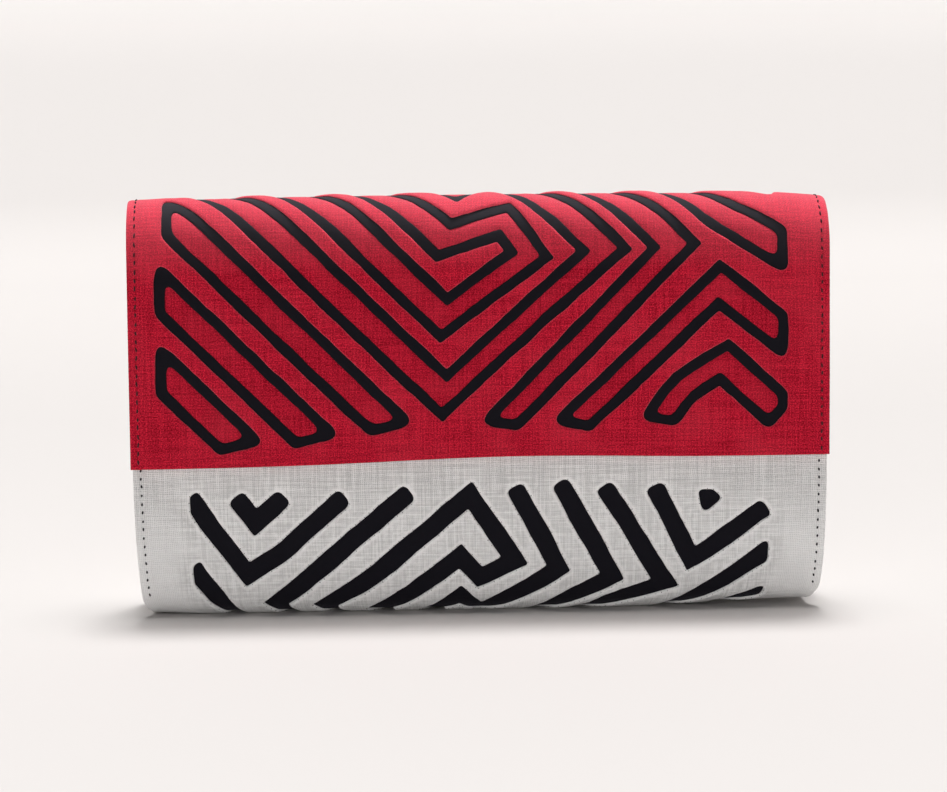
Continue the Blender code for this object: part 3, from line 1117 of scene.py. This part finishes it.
def gusset(name, node, side, material):
    """An end wall that folds in a little, with a flange inside the body cloths."""
    rim = gusset_rim(side)
    rows, mouth = len(rim) - 1, rim[0][1]
    bm = bmesh.new()
    bmesh.ops.create_grid(bm, x_segments=GUSSET_COLUMNS, y_segments=rows, size=0.5)
    for vert in bm.verts:
        y, z, edge_x = rim[round((0.5 - vert.co.y) * rows)]
        across = 2.0 * vert.co.x
        rise = min(1.0, (z - GUSSET_INWARD) / BASE_CORNER_HEIGHT)
        crumple = 0.5 * noise.noise(Vector((across * 1.5, z / 18.0, side * 3.0)))
        depth = (GUSSET_TUCK + crumple) * (1.0 - abs(across) ** 1.6) * rise
        x = edge_x - GUSSET_FLANGE - GUSSET_CLOTH - depth
        vert.co = (side * x, across * -y, z)
    rim_edges = [
        edge
        for edge in bm.edges
        if edge.is_boundary and not all(vert.co.z > mouth - 0.01 for vert in edge.verts)
    ]
    grown = bmesh.ops.extrude_edge_only(bm, edges=rim_edges)["geom"]
    for vert in grown:
        if isinstance(vert, bmesh.types.BMVert):
            vert.co.x += side * (GUSSET_FLANGE + GUSSET_CLOTH - 0.2)
    bmesh.ops.recalc_face_normals(bm, faces=bm.faces)
    middle = Vector((-side * HEIGHT, 0.0, HEIGHT / 2))
    lean = sum((face.calc_center_median() - middle).dot(face.normal) for face in bm.faces)
    if lean < 0.0:
        bmesh.ops.reverse_faces(bm, faces=bm.faces)
    for vert in bm.verts:
        vert.co *= MM
    mesh = bpy.data.meshes.new(name)
    bm.to_mesh(mesh)
    bm.free()
    piece = riding_piece(name, mesh, material)
    thick = piece.modifiers.new("Cloth thickness", "SOLIDIFY")
    thick.thickness = GUSSET_CLOTH * MM
    thick.offset = -1.0
    thick.use_even_offset = True
    smooth = piece.modifiers.new("Soft folds", "SUBSURF")
    smooth.levels = smooth.render_levels = 1
    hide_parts(node)


# Sewing


def modelled_stitch(rings):
    """One stitch, modelled once: a thread one unit long that is drawn in at both ends."""
    bpy.ops.object.select_all(action="DESELECT")
    bpy.ops.mesh.primitive_circle_add(
        vertices=THREAD_SIDES, radius=THREAD_TIP, fill_type="NGON", location=(0.0, 0.0, 0.0),
    )
    stitch = bpy.context.object
    bpy.ops.object.mode_set(mode="EDIT")
    bpy.ops.mesh.select_all(action="SELECT")
    rise = {"value": (0.0, 0.0, 1.0 / (rings - 1))}
    for ring in range(1, rings):
        bpy.ops.mesh.extrude_region_move(TRANSFORM_OT_translate=rise)
        if ring == 1:
            girth = 1.0 / THREAD_TIP
        elif ring == rings - 1:
            girth = THREAD_TIP
        else:
            continue
        bpy.ops.transform.resize(value=(girth, girth, 1.0), center_override=(0.0, 0.0, 0.0))
    bpy.ops.object.mode_set(mode="OBJECT")
    mesh = stitch.data
    bpy.data.objects.remove(stitch)
    return mesh


def lay_stitch(seam, fold, start, end, level, radius):
    """Adds a copy of the seam's stitch, laid on a fold from start to end, both on the plan."""
    rings = seam["rings"]
    spine, ups = [], []
    for ring in range(rings):
        share = ring / (rings - 1)
        u, v = mix(start[0], end[0], share), mix(start[1], end[1], share)
        rise = radius * (THREAD_BOW * math.sin(math.pi * share) * 2.0 - THREAD_BOW)
        here = Vector(fold.at(u, v, level + rise))
        above = Vector(fold.at(u, v, level + rise + 1.0))
        spine.append(here)
        ups.append((above - here).normalized())
    first = len(seam["verts"])
    for vert in seam["stitch"].vertices:
        ring = round(vert.co.z * (rings - 1))
        way = (spine[min(ring + 1, rings - 1)] - spine[max(ring - 1, 0)]).normalized()
        across = way.cross(ups[ring]).normalized()
        lift = across.cross(way)
        seam["verts"].append(spine[ring] + radius * MM * (vert.co.y * across + vert.co.x * lift))
    for face in seam["stitch"].polygons:
        seam["faces"].append([first + corner for corner in face.vertices])


def new_seam(rings):
    return {"rings": rings, "stitch": modelled_stitch(rings), "verts": [], "faces": []}


def seam_piece(name, seam, material):
    """The seam's stitches as one piece, with their faces outwards."""
    mesh = bpy.data.meshes.new(name)
    mesh.from_pydata([tuple(vert) for vert in seam["verts"]], [], seam["faces"])
    bpy.data.meshes.remove(seam["stitch"])
    bm = bmesh.new()
    bm.from_mesh(mesh)
    bmesh.ops.recalc_face_normals(bm, faces=bm.faces)
    bm.to_mesh(mesh)
    bm.free()
    piece = riding_piece(name, mesh, material)


def running_seam(name, fold, lines, level, length, radius, material, seed):
    """Running stitches along straight lines of the plan."""
    rng = random.Random(seed)
    seam = new_seam(5)
    for (u0, v0), (u1, v1) in lines:
        way = Vector((u1 - u0, v1 - v0))
        count = int(way.length / STITCH_PITCH)
        way.normalize()
        side = Vector((-way.y, way.x))
        for index in range(count):
            along = (index + 0.5) * STITCH_PITCH + rng.uniform(-0.25, 0.25)
            middle = Vector((u0, v0)) + way * along
            reach = way * length / 2 * rng.uniform(0.82, 1.15)
            slant = side * rng.uniform(-0.16, 0.16)
            drift = side * rng.uniform(-0.10, 0.10)
            start, end = middle - reach - slant + drift, middle + reach + slant + drift
            lay_stitch(seam, fold, start, end, level, radius)
    seam_piece(name, seam, material)


def hemming(name, fold, loops, level, material, seed):
    """Tiny hemming stitches over the turned edges of the cuts, some of them hidden."""
    rng = random.Random(seed)
    seam = new_seam(3)
    for loop in loops:
        side = 1.0 if runs_left(loop) else -1.0
        points = spaced(loop, HEMMING_STEP)
        outside = offset(points, side)
        for index in range(0, len(points), HEMMING_EVERY):
            if rng.random() < HEMMING_SKIPPED:
                continue
            way = (outside[index] - points[index]).normalized()
            start = points[index] + way * rng.uniform(0.05, 0.20)
            end = points[index] + way * rng.uniform(0.55, 0.95)
            lay_stitch(seam, fold, start, end, level, HEMMING_THREAD)
    seam_piece(name, seam, material)


def sewing(body_cuts, red_thread, black_thread):
    """The side seams, the seam across the back, and the hemming of the body's cuts."""
    half = FLAP_WIDTH / 2 - SEAM_INSET
    low, high = FLAP.first_v + FLAP_SEAM_LOW, FLAP.last_v - FLAP_SEAM_HIGH
    lines = [((side * half, low), (side * half, high)) for side in (-1, 1)]
    tail = FLAP.last_v - TAIL_SEAM
    lines.append(((-half + SEAM_END, tail), (half - SEAM_END, tail)))
    level = RED_UNDER + RED_LIP + RED_CROWN
    running_seam(
        "flap_seam_stitches", FLAP, lines, level, RED_STITCH, RED_THREAD, red_thread,
        11,
    )

    half = BODY_WIDTH / 2 - SEAM_INSET
    low, high = BODY.last_v + SEAM_END, BODY.first_v - SEAM_END
    lines = []
    for side in (-1, 1):
        lines.append(((side * half, high), (side * half, FRONT_SEAM_END)))
        lines.append(((side * half, BACK_SEAM_START), (side * half, low)))
    level = LINEN_UNDER + LINEN_LIP + LINEN_CROWN
    running_seam(
        "body_seam_stitches", BODY, lines, level, LINEN_STITCH, LINEN_THREAD, black_thread,
        12,
    )
    level = LINEN_UNDER + LIP_START + LINEN_LIP - HEMMING_SINK
    hemming("body_hemming_stitches", BODY, body_cuts, level, black_thread, 13)


# Floor, light and camera


def add_floor():
    """A pale board that sweeps up behind the bag."""
    bpy.ops.object.select_all(action="DESELECT")
    bpy.ops.mesh.primitive_grid_add(x_subdivisions=2, y_subdivisions=24, size=1.0)
    floor = bpy.context.object
    floor.name = "floor"
    run = 6.0
    front, sweep_start, radius = -2.5, 1.6, 0.9
    for vert in floor.data.vertices:
        share = vert.co.y + 0.5
        along = share * run
        x = vert.co.x * 9.0
        flat_run = sweep_start - front
        if along <= flat_run:
            y, z = front + along, 0.0
        else:
            angle = min(math.pi / 2, (along - flat_run) / radius)
            beyond = max(0.0, along - flat_run - radius * math.pi / 2)
            y = sweep_start + radius * math.sin(angle)
            z = radius * (1.0 - math.cos(angle)) + beyond * 2.0
        vert.co = (x, y, z)
    floor.data.shade_smooth()
    floor.data.materials.append(floor_material())


def add_soft_light(name, turn, strength, spread):
    """A wide, even light from one side. Turn and spread are in degrees."""
    lamp = bpy.data.lights.new(name, "SUN")
    lamp.energy = strength
    lamp.angle = math.radians(spread)
    holder = bpy.data.objects.new(name, lamp)
    bpy.context.scene.collection.objects.link(holder)
    holder.rotation_euler = [math.radians(angle) for angle in turn]


def add_lights():
    world = bpy.data.worlds.new("studio")
    bpy.context.scene.world = world
    world.use_nodes = True
    sky = world.node_tree.nodes["Background"]
    sky.inputs["Color"].default_value = (0.98, 0.99, 1.0, 1.0)
    sky.inputs["Strength"].default_value = WORLD_STRENGTH
    for name, turn, strength, spread in SOFT_LIGHTS:
        add_soft_light(name, turn, strength, spread)


def add_camera():
    """The camera at the photograph's angle, a little above the bag and almost square to it."""
    camera = bpy.data.cameras.new("camera")
    camera.sensor_width = SENSOR_WIDTH
    camera.lens = camera.sensor_width * CAMERA_DISTANCE / VIEW_WIDTH
    holder = bpy.data.objects.new("camera", camera)
    bpy.context.scene.collection.objects.link(holder)
    azimuth, elevation = math.radians(CAMERA_AZIMUTH), math.radians(CAMERA_ELEVATION)
    back = Vector((
        math.sin(azimuth) * math.cos(elevation),
        -math.cos(azimuth) * math.cos(elevation),
        math.sin(elevation),
    ))
    holder.location = Vector(CAMERA_AIM) + back * CAMERA_DISTANCE
    turn = (-back).to_track_quat("-Z", "Y").to_matrix().to_4x4()
    rolled = turn @ Matrix.Rotation(math.radians(CAMERA_ROLL), 4, "Z")
    holder.rotation_euler = rolled.to_euler()
    bpy.context.scene.camera = holder


def main():
    add_camera()
    red, recess_shaded_red = red_linen("red_linen_cloth", False), red_linen("red_inlay_cloth", True)
    linen = natural_linen("natural_linen_cloth", True)
    gusset_linen = natural_linen("gusset_linen", False)
    black = black_cotton("black_cotton_cloth")
    maroon_thread = thread_material("maroon_thread", MAROON)
    black_thread = thread_material("black_thread", THREAD_BLACK)
    body_cuts = body_cloths(linen, black)
    flap_cloths(red, recess_shaded_red, black)
    gusset("left_end_wall", "gusset_left", -1, gusset_linen)
    gusset("right_end_wall", "gusset_right", 1, gusset_linen)
    sewing(body_cuts, maroon_thread, black_thread)
    add_floor()
    add_lights()
    bpy.context.scene.view_settings.view_transform = "Standard"


main()
